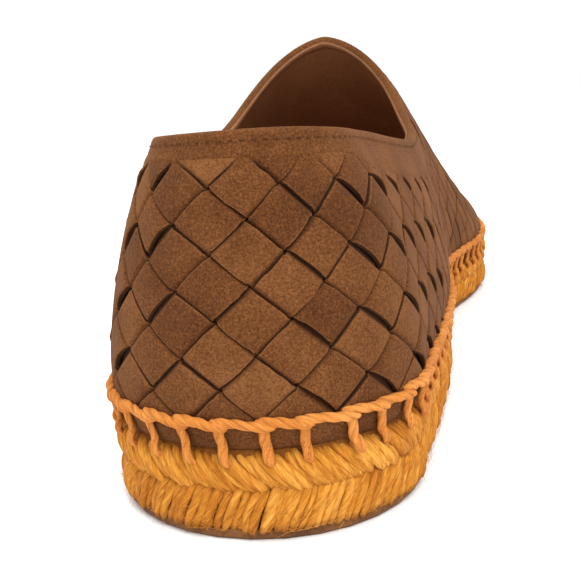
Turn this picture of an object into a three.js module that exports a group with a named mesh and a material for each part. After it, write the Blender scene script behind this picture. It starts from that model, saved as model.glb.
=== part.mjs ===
// A slip-on espadrille for the left foot, with a plaited suede upper on a braided rope sole.
// Millimetres. The toe points along +Y, the inner side of the foot is +X, and the sole stands on Z = 0.
import * as THREE from "three";

// Main sizes
const LENGTH = 272;
const HEEL_ROUND = 33; // the back of the sole is half an ellipse this deep
const TOE_START = 212; // the toe narrows from here to the tip
const TOE_SHAPE = 2.3; // how square the toe is in plan
const TOE_DROP_START = 219; // the top of the toe falls from here to the tip
const TOE_DROP_SHAPE = 2.2;
const GAP = 0.3; // clearance between pieces that meet
const MIDDLE = { across: 2.3, along: 135.5 }; // the middle of the whole shoe, which stands over the origin

// Sole
const OUTSOLE_THICKNESS = 2.2;
const OUTSOLE_INSET = 1.8;
const OUTSOLE_BEVEL = 0.7;
const HEEL_SOLE = 18; // floor to the top of the braid under the heel
const FORE_SOLE = 15.5; // the same under the ball
const SOLE_TAPER = { from: 60, to: 180 };
const ARCH = { from: 94, to: 160, rise: 1.5 };
const TOE_SPRING = { from: 200, rise: 6.5 };

// Rope braid on the side of the sole: two rows of slanting turns that meet in a groove
const TURN_PITCH = 7.2;
const TURN_SLANT = 5; // how far a turn leans along the sole from the edge of its row to the groove
const TURN_DEPTH = 1.3;
const BRAID_ROWS = [
  { up: 0, inset: 1.8, lean: 0, depth: 0.2 },
  { up: 0.24, inset: 0.3, lean: 0.55, depth: 1 },
  { up: 0.5, inset: 1.5, lean: 1, depth: 0.35 },
  { up: 0.76, inset: 0.3, lean: 0.55, depth: 1 },
  { up: 1, inset: 1.5, lean: 0, depth: 0.2 },
];

// Upper
const WALL = 2;
const FOOT_INSET = 2.8; // how far the wall stands in from the edge of the sole
const SWELL = { out: 1.8, up: 12 }; // the wall's belly and its height above the sole
const BACK_RIDGE = 106; // the section behind the heel leans in less than the sides: its ridge is this high
const PROFILE_STEPS = 24;

// Cross sections of the last: place along the sole, shift of the ridge to the inner side, half width of the sole,
// share of that width on the inner side, height of the ridge over the floor and fullness of the shoulders. Behind the
// throat the ridge is above the opening. The inner side is drawn in at the waist and stands out at the ball, most of
// all at the sole.
const SECTIONS = [
  { at: 33, centre: 0.3, half: 34.2, inner: 0.953, ridge: 89, full: 1.88 },
  { at: 70, centre: 0.3, half: 36.9, inner: 0.984, ridge: 97, full: 2.02 },
  { at: 105, centre: 0, half: 38.8, inner: 0.985, ridge: 102, full: 1.9 },
  { at: 130, centre: -0.2, half: 40.2, inner: 0.905, ridge: 99, full: 1.68 },
  { at: 152, centre: 0, half: 43.9, inner: 0.827, ridge: 95.8, full: 1.53 },
  { at: 174, centre: 0.4, half: 46.8, inner: 0.87, ridge: 80.5, full: 1.74 },
  { at: 194, centre: 0.8, half: 47.6, inner: 0.985, ridge: 66, full: 1.95 },
  { at: 212, centre: 2, half: 47, inner: 1.05, ridge: 55.5, full: 1.9 },
  { at: 242, centre: 4.8, half: 47, inner: 1.03, ridge: 47.5, full: 2.05 },
  { at: 272, centre: 7, half: 47, inner: 1, ridge: 43.5, full: 2.1 },
];

// Height of the opening's edge over the floor, seen from the side
const TOPLINE = [
  { at: 0, height: 75 },
  { at: 14, height: 74 },
  { at: 36, height: 71.8 },
  { at: 60, height: 68.6 },
  { at: 84, height: 66.3 },
  { at: 104, height: 67 },
  { at: 124, height: 70.4 },
  { at: 140, height: 80 },
  { at: 152, height: 95.8 },
  { at: 160, height: 107.5 },
  { at: 180, height: 138 },
];
const THROAT = 152; // where the opening's edge meets the ridge

// Plait: flat strips that cross as diamonds, each one raised where it lies on top
const DIAMOND = { along: 13.8, up: 12.1 };
const LEVEL_OUT = 137.2; // length behind the throat over which the rows of diamonds come level with the sole
const STRIP_RAISE = 0.9;
const STRIP_SIDE = 0.93; // share of a diamond that a strip covers across its width
const STRIP_END = 0.7; // the same along its length, before it dips under its neighbour
const PLAIN_TOP = 5.6; // unplaited edge under the opening
const PLAIN_FOOT = 6.9; // unplaited edge above the sole
const SNAP = 1.4; // a corner of the plait this near an edge moves onto it
const EDGE_STEP = 3; // longest straight step along the opening's edge

// Binding of the opening
const BINDING = { thickness: 0.9, leg: 4, innerLeg: 0.8, gap: 0.6, innerGap: 0.95, steps: 88 };

// Yarn of the blanket stitch that joins upper and sole
const YARN = { radius: 1.05, height: 5.4, pitch: 7.6, bar: 1.9, clear: 2 };

// Insole
const INSOLE = { thickness: 2.4, inset: 6.2, count: 68 };

const { clamp, lerp, smoothstep } = THREE.MathUtils;
const QUARTER_TURN = Math.PI / 2;

// A smooth curve through one column of a table.
function curveOf(table, column) {
  const at = table.map((row) => row.at);
  const value = table.map((row) => row[column]);
  const last = at.length - 1;
  const slope = at.map((_, i) => {
    const before = Math.max(i - 1, 0);
    const after = Math.min(i + 1, last);
    return (value[after] - value[before]) / (at[after] - at[before]);
  });
  return (x) => {
    const inside = clamp(x, at[0], at[last]);
    const i = clamp(at.findIndex((a) => a > inside) - 1, 0, last - 1);
    const k = inside >= at[last] ? last - 1 : i;
    const span = at[k + 1] - at[k];
    const t = (inside - at[k]) / span;
    const rest = 1 - t;
    return (
      rest * rest * (1 + 2 * t) * value[k] +
      t * t * (3 - 2 * t) * value[k + 1] +
      span * t * rest * (rest * slope[k] - t * slope[k + 1])
    );
  };
}

const centreAt = curveOf(SECTIONS, "centre");
const halfAt = curveOf(SECTIONS, "half");
const innerAt = curveOf(SECTIONS, "inner");
const ridgeAt = curveOf(SECTIONS, "ridge");
const fullAt = curveOf(SECTIONS, "full");
const toplineAt = curveOf(TOPLINE, "height");

// A quarter of a superellipse: 1 at share 0, 0 at share 1.
const cap = (share, shape) => Math.pow(1 - Math.pow(clamp(share, 0, 1), shape), 1 / shape);

// Sole: outline and heights

const ground = (y) => {
  const arch = clamp((y - ARCH.from) / (ARCH.to - ARCH.from), 0, 1);
  const toe = clamp((y - TOE_SPRING.from) / (LENGTH - TOE_SPRING.from), 0, 1);
  return ARCH.rise * Math.sin(Math.PI * arch) ** 2 + TOE_SPRING.rise * toe * toe;
};
const soleTop = (y) =>
  ground(y) + lerp(HEEL_SOLE, FORE_SOLE, smoothstep(y, SOLE_TAPER.from, SOLE_TAPER.to));

// Distances on the inner side of the foot (side 1) are scaled, less and less towards the ridge; the outer side keeps
// its own.
const sideShare = (y, side, high = 0) => (side < 0 ? side : side * lerp(innerAt(y), 1, high));

// Half width of the sole's outline, drawn in by an inset.
function halfWidth(y, inset = 0) {
  const heel = (HEEL_ROUND - y) / (HEEL_ROUND - inset);
  const toe = (y - TOE_START) / (LENGTH - inset - TOE_START);
  return (halfAt(Math.max(y, HEEL_ROUND)) - inset) * cap(heel, 2) * cap(toe, TOE_SHAPE);
}

// The sole's outline as a closed curve: 0 at the back of the heel, a half at the tip of the toe, 1 back at the heel.
function outlineCurve() {
  const stations = 240;
  const sides = [-1, 1].map((side) => {
    const points = [];
    for (let k = 0; k <= stations; k++) {
      const y = (LENGTH / 2) * (1 - Math.cos((Math.PI * k) / stations));
      points.push(new THREE.Vector2(centreAt(y) + sideShare(y, side) * halfWidth(y), y));
    }
    const along = [0];
    for (let k = 1; k <= stations; k++) along.push(along[k - 1] + points[k].distanceTo(points[k - 1]));
    return { points, along };
  });
  const at = (share) => {
    const turn = share - Math.floor(share);
    const { points, along } = sides[turn < 0.5 ? 0 : 1];
    const wanted = (turn < 0.5 ? turn * 2 : 2 - turn * 2) * along[stations];
    const k = clamp(along.findIndex((a) => a >= wanted), 1, stations);
    return points[k - 1].clone().lerp(points[k], (wanted - along[k - 1]) / (along[k] - along[k - 1]));
  };
  return { at, length: sides[0].along[stations] + sides[1].along[stations] };
}
const outline = outlineCurve();

// A point of the outline, drawn in square to it by an inset.
function soleEdge(share, inset) {
  const step = 0.002;
  const along = outline.at(share + step).sub(outline.at(share - step)).normalize();
  const here = outline.at(share);
  return new THREE.Vector2(here.x + along.y * inset, here.y - along.x * inset);
}

// A closed solid of rows of points round the sole, lowest row first, with flat strips across its two faces.
function layer(count, rows) {
  const vertices = [];
  const triangles = [];
  for (const row of rows) {
    for (let k = 0; k < count; k++) {
      const { share, inset } = row.edge(k);
      const p = soleEdge(share, inset);
      vertices.push(p.x, p.y, row.height(p.y));
    }
  }
  const quad = (a, b, c, d) => triangles.push(a, b, c, a, c, d);
  for (let r = 0; r + 1 < rows.length; r++) {
    for (let k = 0; k < count; k++) {
      const next = (k + 1) % count;
      quad(r * count + next, r * count + k, (r + 1) * count + k, (r + 1) * count + next);
    }
  }
  const top = (rows.length - 1) * count;
  for (let k = 0; k < count / 2; k++) {
    const far = (count - k) % count;
    const farNext = count - k - 1;
    if (k === 0) {
      triangles.push(k, k + 1, farNext, top + k, top + farNext, top + k + 1);
    } else if (k + 1 === farNext) {
      triangles.push(far, k, k + 1, top + far, top + k + 1, top + k);
    } else {
      quad(far, k, k + 1, farNext);
      quad(top + k, top + far, top + farNext, top + k + 1);
    }
  }
  return solidGeometry(vertices, triangles);
}

function solidGeometry(vertices, triangles) {
  const geometry = new THREE.BufferGeometry();
  geometry.setAttribute("position", new THREE.Float32BufferAttribute(vertices, 3));
  geometry.setIndex(triangles);
  return geometry;
}

// The last: a point of the upper's outer face by two measures along it. "round" runs from the back of the heel
// forwards along the side, and past the throat along the ridge. "down" runs from the ridge down to the sole, negative
// on the outer side of the foot and positive on the inner side.

const HEEL_ARC = QUARTER_TURN * (HEEL_ROUND - FOOT_INSET);
const tipY = LENGTH - FOOT_INSET;

function ridgeRise(y) {
  const drop = (y - TOE_DROP_START) / (tipY - TOE_DROP_START);
  return (ridgeAt(y) - soleTop(y)) * cap(drop, TOE_DROP_SHAPE);
}

// Place along the sole for each millimetre of the ridge in front of the throat.
function ridgeWalk() {
  const steps = 400;
  const walk = [{ y: THROAT, far: 0 }];
  for (let k = 1; k <= steps; k++) {
    const y = THROAT + (tipY - THROAT) * Math.sin((QUARTER_TURN * k) / steps);
    const before = walk[k - 1];
    const rise = soleTop(y) + ridgeRise(y) - soleTop(before.y) - ridgeRise(before.y);
    walk.push({ y, far: before.far + Math.hypot(y - before.y, rise) });
  }
  return walk;
}
const walk = ridgeWalk();
const throatRound = HEEL_ARC + THROAT - HEEL_ROUND;
const tipRound = throatRound + walk.at(-1).far;

function placeAt(round) {
  if (round <= throatRound) return HEEL_ROUND + round - HEEL_ARC;
  const wanted = Math.min(round - throatRound, walk.at(-1).far);
  const k = Math.max(walk.findIndex((w) => w.far >= wanted), 1);
  const share = (wanted - walk[k - 1].far) / (walk[k].far - walk[k - 1].far);
  return lerp(walk[k - 1].y, walk[k].y, share);
}

// One half section: distances out from the middle and heights, from the foot of the wall up to the ridge.
const profiles = new Map();
function profileAt(round) {
  const key = Math.round(round * 1e4);
  if (profiles.has(key)) return profiles.get(key);
  const heel = round < HEEL_ARC;
  const turn = heel ? QUARTER_TURN * (1 - round / HEEL_ARC) : 0;
  const y = heel ? HEEL_ROUND : placeAt(round);
  const wide = halfWidth(y, FOOT_INSET);
  const deep = HEEL_ROUND - FOOT_INSET;
  const base = heel ? 1 / Math.hypot(Math.cos(turn) / wide, Math.sin(turn) / deep) : wide;
  const foot = soleTop(y) + GAP;
  const heelRidge = lerp(ridgeAt(HEEL_ROUND), BACK_RIDGE, Math.sin(turn) ** 2);
  const rise = Math.max(heel ? heelRidge - foot : ridgeRise(y) - GAP, 0);
  const swell = Math.min(SWELL.out, base * 0.2, rise * 0.1);
  const points = [];
  let along = 0;
  for (let k = 0; k <= PROFILE_STEPS; k++) {
    const angle = (QUARTER_TURN * k) / PROFILE_STEPS;
    const up = foot + rise * Math.sin(angle);
    const belly = ((up - foot) / SWELL.up) * Math.exp(1 - (up - foot) / SWELL.up) * Math.cos(angle);
    const out = base * Math.pow(Math.max(Math.cos(angle), 0), 2 / fullAt(y)) + swell * belly;
    if (k) along += Math.hypot(out - points[k - 1].out, up - points[k - 1].up);
    points.push({ out: k === PROFILE_STEPS ? 0 : out, up, along });
  }
  const made = { turn, y, foot, rise, points, length: along };
  profiles.set(key, made);
  return made;
}

// Distance from the ridge down to the sole. Behind the throat it runs on level, so the plait keeps to the sole.
const throatLength = profileAt(throatRound).length;
const lengthSlope = (profileAt(throatRound + 4).length - throatLength) / 4;
function sheetDepth(round) {
  if (round > tipRound) return tipRound - round;
  if (round >= throatRound) return profileAt(round).length;
  const back = Math.min((throatRound - round) / LEVEL_OUT, 1);
  return throatLength - lengthSlope * LEVEL_OUT * (back - (back * back * back) / 3);
}

function lastPoint(round, down) {
  if (round < 0) return lastPoint(-round, -down);
  const { turn, y, foot, rise, points, length } = profileAt(Math.min(round, tipRound));
  const side = down < 0 ? -1 : 1;
  const wanted = clamp(sheetDepth(round) - Math.abs(down), 0, length);
  const k = clamp(points.findIndex((p) => p.along >= wanted), 1, PROFILE_STEPS);
  const share = (wanted - points[k - 1].along) / (points[k].along - points[k - 1].along || 1);
  const out = lerp(points[k - 1].out, points[k].out, share);
  const up = lerp(points[k - 1].up, points[k].up, share);
  const across = sideShare(y, side, rise ? (up - foot) / rise : 0) * out * Math.cos(turn);
  return new THREE.Vector3(centreAt(y) + across, y - out * Math.sin(turn), up);
}

function lastNormal(round, down) {
  const step = 0.6;
  const front = lastPoint(Math.min(round + step, tipRound - 0.05), down);
  const alongRound = front.sub(lastPoint(Math.min(round, tipRound - 1) - step, down));
  const low = lastPoint(round, down + step);
  const alongDown = low.sub(lastPoint(round, down - step));
  return alongDown.cross(alongRound).normalize();
}

// Height over the sole along the wall, and height under the opening's edge.
const overSole = (round, down) => sheetDepth(Math.abs(round)) - Math.abs(down);
const underTopline = (round, down) => {
  const p = lastPoint(round, down);
  return toplineAt(p.y) - p.z;
};

// Upper: a lattice of diamonds over the sheet, trimmed to the two edges

const inTrim = (f, a, b) => {
  let low = a;
  let high = b;
  const lowInside = f(...a) >= 0;
  for (let k = 0; k < 40; k++) {
    const middle = [(low[0] + high[0]) / 2, (low[1] + high[1]) / 2];
    if (f(...middle) >= 0 === lowInside) low = middle;
    else high = middle;
  }
  return low;
};

const EDGES = [
  { name: "foot", f: overSole },
  { name: "top", f: underTopline },
];

// Moves a corner that almost touches an edge onto that edge.
function snapped(place) {
  let [round, down] = place;
  const on = {};
  for (const { name, f } of EDGES) {
    for (let k = 0; k < 4 && Math.abs(f(round, down)) < SNAP; k++) {
      const step = 0.05;
      const here = f(round, down);
      const slopeRound = (f(round + step, down) - f(round - step, down)) / (2 * step);
      const slopeDown = (f(round, down + step) - f(round, down - step)) / (2 * step);
      const steep = slopeRound ** 2 + slopeDown ** 2 || 1;
      round -= (here * slopeRound) / steep;
      down -= (here * slopeDown) / steep;
      on[name] = true;
    }
  }
  return { place: [round, down], on };
}

function trimmedCells() {
  const corners = new Map();
  const cornerAt = (i, j) => {
    const turned = i < 0;
    const own = turned ? [-i - 1, -j - 1] : [i, j];
    const key = own.join(",");
    if (!corners.has(key)) {
      const place = [(0.25 + own[0] / 2) * DIAMOND.along, (0.25 + own[1] / 2) * DIAMOND.up];
      corners.set(key, { key, ...snapped(place) });
    }
    const corner = corners.get(key);
    return turned ? { ...corner, place: corner.place.map((v) => -v) } : corner;
  };
  const cells = [];
  const columns = Math.ceil((2 * tipRound) / DIAMOND.along) + 1;
  const rows = Math.ceil((2 * sheetDepth(0)) / DIAMOND.up) + 4;
  for (let i = 0; i <= columns; i++) {
    for (let j = -rows; j <= rows; j++) {
      if ((i + j) % 2 === 0) continue;
      let ring = [cornerAt(i + 1, j), cornerAt(i, j - 1), cornerAt(i - 1, j), cornerAt(i, j + 1)];
      const whole = ring;
      for (const { name, f } of EDGES) {
        const level = (c) => (c.on[name] ? 0 : f(...c.place));
        ring = ring.flatMap((c, k) => {
          const next = ring[(k + 1) % ring.length];
          const here = level(c);
          const there = level(next);
          const kept = here >= 0 ? [c] : [];
          if (here * there < 0) {
            const key = [c.key, next.key].sort().join("|") + name;
            kept.push({ key, place: inTrim(f, c.place, next.place), on: { [name]: true } });
          }
          return kept;
        });
      }
      if (ring.length < 3) continue;
      ring = ring.flatMap((c, k) => {
        const next = ring[(k + 1) % ring.length];
        if (!c.on.top || !next.on.top) return [c];
        const parts = Math.ceil(lastPoint(...c.place).distanceTo(lastPoint(...next.place)) / EDGE_STEP);
        const between = [c];
        for (let n = 1; n < parts; n++) {
          const part = c.place.map((v, axis) => lerp(v, next.place[axis], n / parts));
          between.push({ key: `${c.key}&${next.key}&${n}`, ...snapped(part) });
        }
        return between;
      });
      const start = Math.max(ring.findIndex((c) => !c.on.top), 0);
      ring = [...ring.slice(start), ...ring.slice(0, start)];
      const clear = (c) => overSole(...c.place) > PLAIN_FOOT && underTopline(...c.place) > PLAIN_TOP;
      const raised = ring.length === 4 && ring.every((c, k) => c === whole[k] && clear(c));
      cells.push({ ring, raised, leans: i % 2 === 0 });
    }
  }
  return cells;
}

function makeUpper() {
  const vertices = [];
  const triangles = [];
  const known = new Map();
  const vertex = (key, place, lift) => {
    if (!known.has(key)) {
      const p = lastPoint(...place).addScaledVector(lastNormal(...place), lift);
      known.set(key, vertices.length / 3);
      vertices.push(p.x, p.y, p.z);
    }
    return known.get(key);
  };
  const fan = (ids) => {
    for (let k = 1; k + 1 < ids.length; k++) triangles.push(ids[0], ids[k], ids[k + 1]);
  };
  const rims = new Map();
  trimmedCells().forEach(({ ring, raised, leans }, cell) => {
    const outer = ring.map((c) => vertex("o" + c.key, c.place, 0));
    const inner = ring.map((c) => vertex("i" + c.key, c.place, -WALL));
    fan([...inner].reverse());
    outer.forEach((a, k) => {
      const next = (k + 1) % ring.length;
      const back = outer[next] + ">" + a;
      if (rims.has(back)) rims.delete(back);
      else rims.set(a + ">" + outer[next], [a, outer[next], inner[k], inner[next]]);
    });
    if (!raised) {
      fan(outer);
      return;
    }
    // The strip on top: its long edges run from one pair of corners to the other.
    const middle = [0, 1].map((axis) => ring.reduce((sum, c) => sum + c.place[axis], 0) / 4);
    const lengthwise = leans ? [3, 2] : [0, 3];
    const ends = lengthwise.map((k) => ring[k].place.map((v, axis) => v - middle[axis]));
    const along = [0, 1].map((axis) => (ends[0][axis] - ends[1][axis]) / 2);
    const across = [0, 1].map((axis) => (ends[0][axis] + ends[1][axis]) / 2);
    const tops = ring.map((c, k) => {
      const offset = c.place.map((v, axis) => v - middle[axis]);
      const cross = along[0] * across[1] - along[1] * across[0];
      const a = (offset[0] * across[1] - offset[1] * across[0]) / cross;
      const b = (along[0] * offset[1] - along[1] * offset[0]) / cross;
      const place = [0, 1].map((axis) => middle[axis] + a * STRIP_END * along[axis] + b * STRIP_SIDE * across[axis]);
      return vertex(`t${cell}-${k}`, place, STRIP_RAISE);
    });
    fan(tops);
    outer.forEach((a, k) => {
      const next = (k + 1) % 4;
      fan([a, outer[next], tops[next], tops[k]]);
    });
  });
  for (const [a, b, aIn, bIn] of rims.values()) fan([b, a, aIn, bIn]);
  return solidGeometry(vertices, triangles);
}

// Loops round the upper

// Follows a level of f round the sheet: by columns from the heel up to fanFrom, then by rays round the front.
function loopAlong(f, fanFrom, count) {
  const reach = 140;
  const solve = (from, direction) => {
    const place = (far) => [from[0] + direction[0] * far, from[1] + direction[1] * far];
    const start = f(...place(0.01)) >= 0;
    let far = 0.01;
    while (far < reach && f(...place(far)) >= 0 === start) far += 1;
    return inTrim(f, place(far - 1), place(far));
  };
  const halves = [-1, 1].map((side) => {
    const places = [];
    const columns = 120;
    for (let k = 0; k < columns; k++) places.push(solve([(fanFrom * k) / columns, 0], [0, side]));
    for (let k = 0; k <= columns; k++) {
      const angle = QUARTER_TURN * (1 - k / columns);
      places.push(solve([fanFrom, 0], [Math.cos(angle), side * Math.sin(angle)]));
    }
    const along = [0];
    const spots = places.map((p) => lastPoint(...p));
    for (let k = 1; k < spots.length; k++) along.push(along[k - 1] + spots[k].distanceTo(spots[k - 1]));
    return { places, along };
  });
  const loop = [];
  for (let k = 0; k < count; k++) {
    const half = k < count / 2 ? halves[0] : halves[1];
    const share = k < count / 2 ? (2 * k) / count : 2 - (2 * k) / count;
    const wanted = share * half.along.at(-1);
    const n = clamp(half.along.findIndex((a) => a >= wanted), 1, half.along.length - 1);
    const t = (wanted - half.along[n - 1]) / (half.along[n] - half.along[n - 1]);
    loop.push([0, 1].map((axis) => lerp(half.places[n - 1][axis], half.places[n][axis], t)));
  }
  return { loop, length: halves[0].along.at(-1) + halves[1].along.at(-1) };
}

// A frame at each point of a loop: out of the wall, and up along it.
function framesOf(loop) {
  const spots = loop.map((place) => lastPoint(...place));
  return spots.map((spot, k) => {
    const next = spots[(k + 1) % spots.length];
    const before = spots[(k + spots.length - 1) % spots.length];
    const along = next.clone().sub(before).normalize();
    const out = lastNormal(...loop[k]);
    return { spot, out, up: along.cross(out).normalize() };
  });
}

// A closed ring with the same section, a list of [out, up] pairs, at every frame.
function ring(frames, section) {
  const vertices = [];
  const triangles = [];
  for (const { spot, out, up } of frames) {
    for (const [o, u] of section) {
      const p = spot.clone().addScaledVector(out, o).addScaledVector(up, u);
      vertices.push(p.x, p.y, p.z);
    }
  }
  const n = section.length;
  frames.forEach((_, k) => {
    const here = k * n;
    const next = ((k + 1) % frames.length) * n;
    for (let s = 0; s < n; s++) {
      const t = (s + 1) % n;
      triangles.push(here + s, here + t, next + t, here + s, next + t, next + s);
    }
  });
  return solidGeometry(vertices, triangles);
}

function makeBinding() {
  const { thickness, leg, innerLeg, gap, innerGap, steps } = BINDING;
  const face = gap + thickness;
  const round = thickness * 0.7;
  const back = -WALL - innerGap;
  const section = [
    [face, -leg],
    [gap, -leg],
    [gap, gap],
    [back, gap],
    [back, -innerLeg],
    [back - thickness, -innerLeg],
    [back - thickness, face - round],
    [back - thickness + round, face],
    [face - round, face],
    [face, face - round],
  ];
  return ring(framesOf(loopAlong(underTopline, throatRound - 45, steps).loop), section.reverse());
}

// The yarn's chain has a ring of six corners at both flanks of every bar; the bars hang from its lowest face.
function makeYarn() {
  const { radius, height, pitch, bar, clear } = YARN;
  const sides = 6;
  const off = radius + GAP;
  const toeFan = tipRound - 70;
  const chain = loopAlong((round, down) => overSole(round, down) - height, toeFan, 2000);
  const bars = 2 * Math.round(chain.length / pitch / 2);
  const shares = [];
  for (let k = 0; k < bars; k++) {
    const half = bar / 2 / chain.length;
    shares.push((k + 0.5) / bars - half, (k + 0.5) / bars + half);
  }
  const all = framesOf(chain.loop);
  const frames = shares.map((share) => all[Math.round(share * all.length) % all.length]);
  const vertices = [];
  const triangles = [];
  const add = ({ spot, out, up }, o, u) => {
    const p = spot.clone().addScaledVector(out, o).addScaledVector(up, u);
    vertices.push(p.x, p.y, p.z);
    return vertices.length / 3 - 1;
  };
  const quad = (a, b, c, d) => triangles.push(a, b, c, a, c, d);
  const rings = frames.map((frame) =>
    Array.from({ length: sides }, (_, k) => {
      const angle = (2 * Math.PI * k) / sides;
      return add(frame, off + radius * Math.cos(angle), radius * Math.sin(angle));
    }),
  );
  const low = 4; // the corner before the lowest face
  rings.forEach((ringHere, r) => {
    const ringNext = rings[(r + 1) % rings.length];
    const barHere = r % 2 === 0;
    for (let k = 0; k < sides; k++) {
      const next = (k + 1) % sides;
      if (barHere && k === low) continue;
      quad(ringHere[k], ringHere[next], ringNext[next], ringNext[k]);
    }
    if (!barHere) return;
    const end = clear - height;
    const inner = off - radius / 2;
    const outer = off + radius / 2;
    const top = [ringHere[low], ringHere[low + 1], ringNext[low + 1], ringNext[low]];
    const frameNext = frames[(r + 1) % frames.length];
    const foot = [
      add(frames[r], inner, end),
      add(frames[r], outer, end),
      add(frameNext, outer, end),
      add(frameNext, inner, end),
    ];
    for (let k = 0; k < 4; k++) {
      const next = (k + 1) % 4;
      quad(top[k], top[next], foot[next], foot[k]);
    }
    quad(foot[0], foot[1], foot[2], foot[3]);
  });
  return solidGeometry(vertices, triangles);
}

// Sole pieces

function makeOutsole() {
  const count = 92;
  const edge = (inset) => (k) => ({ share: k / count, inset });
  return layer(count, [
    { edge: edge(OUTSOLE_INSET + OUTSOLE_BEVEL), height: ground },
    { edge: edge(OUTSOLE_INSET), height: (y) => ground(y) + OUTSOLE_BEVEL },
    { edge: edge(OUTSOLE_INSET), height: (y) => ground(y) + OUTSOLE_THICKNESS },
  ]);
}

function makeBraidedSole() {
  const turns = 2 * Math.round(outline.length / TURN_PITCH / 2);
  const count = 2 * turns;
  const rows = BRAID_ROWS.map(({ up, inset, lean, depth }) => ({
    edge: (k) => ({
      share: k / count - (lean * TURN_SLANT) / outline.length,
      inset: inset + (k % 2) * depth * TURN_DEPTH,
    }),
    height: (y) => lerp(ground(y) + OUTSOLE_THICKNESS + GAP, soleTop(y), up),
  }));
  return layer(count, rows);
}

function makeInsole() {
  const { thickness, inset, count } = INSOLE;
  const edge = (k) => ({ share: k / count, inset });
  return layer(count, [
    { edge, height: (y) => soleTop(y) + GAP },
    { edge, height: (y) => soleTop(y) + GAP + thickness },
  ]);
}

// Assembly

function piece(name, geometry, colour, roughness) {
  const material = new THREE.MeshStandardMaterial({ color: colour, roughness, metalness: 0 });
  const mesh = new THREE.Mesh(geometry, material);
  mesh.name = name;
  return mesh;
}

const shoe = new THREE.Group();
shoe.name = "espadrille";
shoe.add(
  piece("outsole", makeOutsole(), 0x6b4a2c, 0.75),
  piece("braided_sole", makeBraidedSole(), 0xd8943a, 0.9),
  piece("insole", makeInsole(), 0x7a4e2c, 0.7),
  piece("upper", makeUpper(), 0x7a4a26, 0.95),
  piece("topline_binding", makeBinding(), 0x6e4124, 0.85),
  piece("blanket_stitch", makeYarn(), 0xe0893a, 0.85),
);
shoe.position.set(-MIDDLE.across, -MIDDLE.along, 0);

export default shoe;
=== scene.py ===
import math

import bpy
import numpy as np
from mathutils import Matrix, Vector


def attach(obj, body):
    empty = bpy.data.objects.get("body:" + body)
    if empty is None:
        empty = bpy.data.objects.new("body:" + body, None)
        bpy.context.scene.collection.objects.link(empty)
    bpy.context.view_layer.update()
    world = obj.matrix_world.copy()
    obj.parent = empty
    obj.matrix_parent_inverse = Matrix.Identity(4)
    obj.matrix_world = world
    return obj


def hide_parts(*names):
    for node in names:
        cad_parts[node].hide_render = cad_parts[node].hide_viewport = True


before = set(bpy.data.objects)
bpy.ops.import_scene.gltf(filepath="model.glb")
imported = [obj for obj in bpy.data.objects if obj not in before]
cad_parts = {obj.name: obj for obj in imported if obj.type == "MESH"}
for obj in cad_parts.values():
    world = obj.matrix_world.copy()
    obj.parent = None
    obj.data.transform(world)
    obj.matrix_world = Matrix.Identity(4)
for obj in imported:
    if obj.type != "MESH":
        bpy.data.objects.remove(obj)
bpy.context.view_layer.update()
bpy.ops.object.select_all(action="DESELECT")
bpy.context.scene.view_settings.view_transform = "Standard"
dice = np.random.default_rng(41)
print("frame loaded")

# the last, in millimetres from the back of the sole: the same sizes as the CAD solids
last = {
    "length": 272.0, "heelRound": 33.0, "toeStart": 212.0, "toeShape": 2.3, "toeDropStart": 219.0,
    "toeDropShape": 2.2, "gap": 0.3, "heelSole": 18.0, "foreSole": 15.5, "taper": (60.0, 180.0),
    "arch": (94.0, 160.0, 1.5), "spring": (200.0, 6.5), "footInset": 2.8, "swellOut": 1.8, "swellUp": 12.0,
    "backRidge": 106.0, "throat": 152.0, "levelOut": 137.2, "wall": 2.0, "middle": (2.3, 135.5),
}
# at, centre, half, share on the inner side, ridge, fullness
sectionRows = [
    (33, 0.3, 34.2, 0.953, 89, 1.88), (70, 0.3, 36.9, 0.984, 97, 2.02), (105, 0, 38.8, 0.985, 102, 1.9),
    (130, -0.2, 40.2, 0.905, 99, 1.68), (152, 0, 43.9, 0.827, 95.8, 1.53), (174, 0.4, 46.8, 0.87, 80.5, 1.74),
    (194, 0.8, 47.6, 0.985, 66, 1.95), (212, 2, 47, 1.05, 55.5, 1.9), (242, 4.8, 47, 1.03, 47.5, 2.05),
    (272, 7, 47, 1, 43.5, 2.1),
]
# at, height of the opening's edge
toplineRows = [
    (0, 75), (14, 74), (36, 71.8), (60, 68.6), (84, 66.3), (104, 67), (124, 70.4), (140, 80), (152, 95.8),
    (160, 107.5), (180, 138),
]


def curveOf(rows, column):
    at = np.array([row[0] for row in rows], float)
    value = np.array([row[column] for row in rows], float)
    count = len(at)
    before = np.maximum(np.arange(count) - 1, 0)
    after = np.minimum(np.arange(count) + 1, count - 1)
    slope = (value[after] - value[before]) / (at[after] - at[before])

    def curve(x):
        x = np.clip(np.asarray(x, float), at[0], at[-1])
        k = np.clip(np.searchsorted(at, x, side="right") - 1, 0, count - 2)
        span = at[k + 1] - at[k]
        t = (x - at[k]) / span
        rest = 1 - t
        ends = rest * rest * (1 + 2 * t) * value[k] + t * t * (3 - 2 * t) * value[k + 1]
        return ends + span * t * rest * (rest * slope[k] - t * slope[k + 1])

    return curve


centreAt = curveOf(sectionRows, 1)
halfAt = curveOf(sectionRows, 2)
innerAt = curveOf(sectionRows, 3)
ridgeAt = curveOf(sectionRows, 4)
fullAt = curveOf(sectionRows, 5)
toplineAt = curveOf(toplineRows, 1)


def cap(share, shape):
    return (1 - np.clip(share, 0, 1) ** shape) ** (1 / shape)


def smooth(x, low, high):
    t = np.clip((x - low) / (high - low), 0, 1)
    return t * t * (3 - 2 * t)


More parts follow.
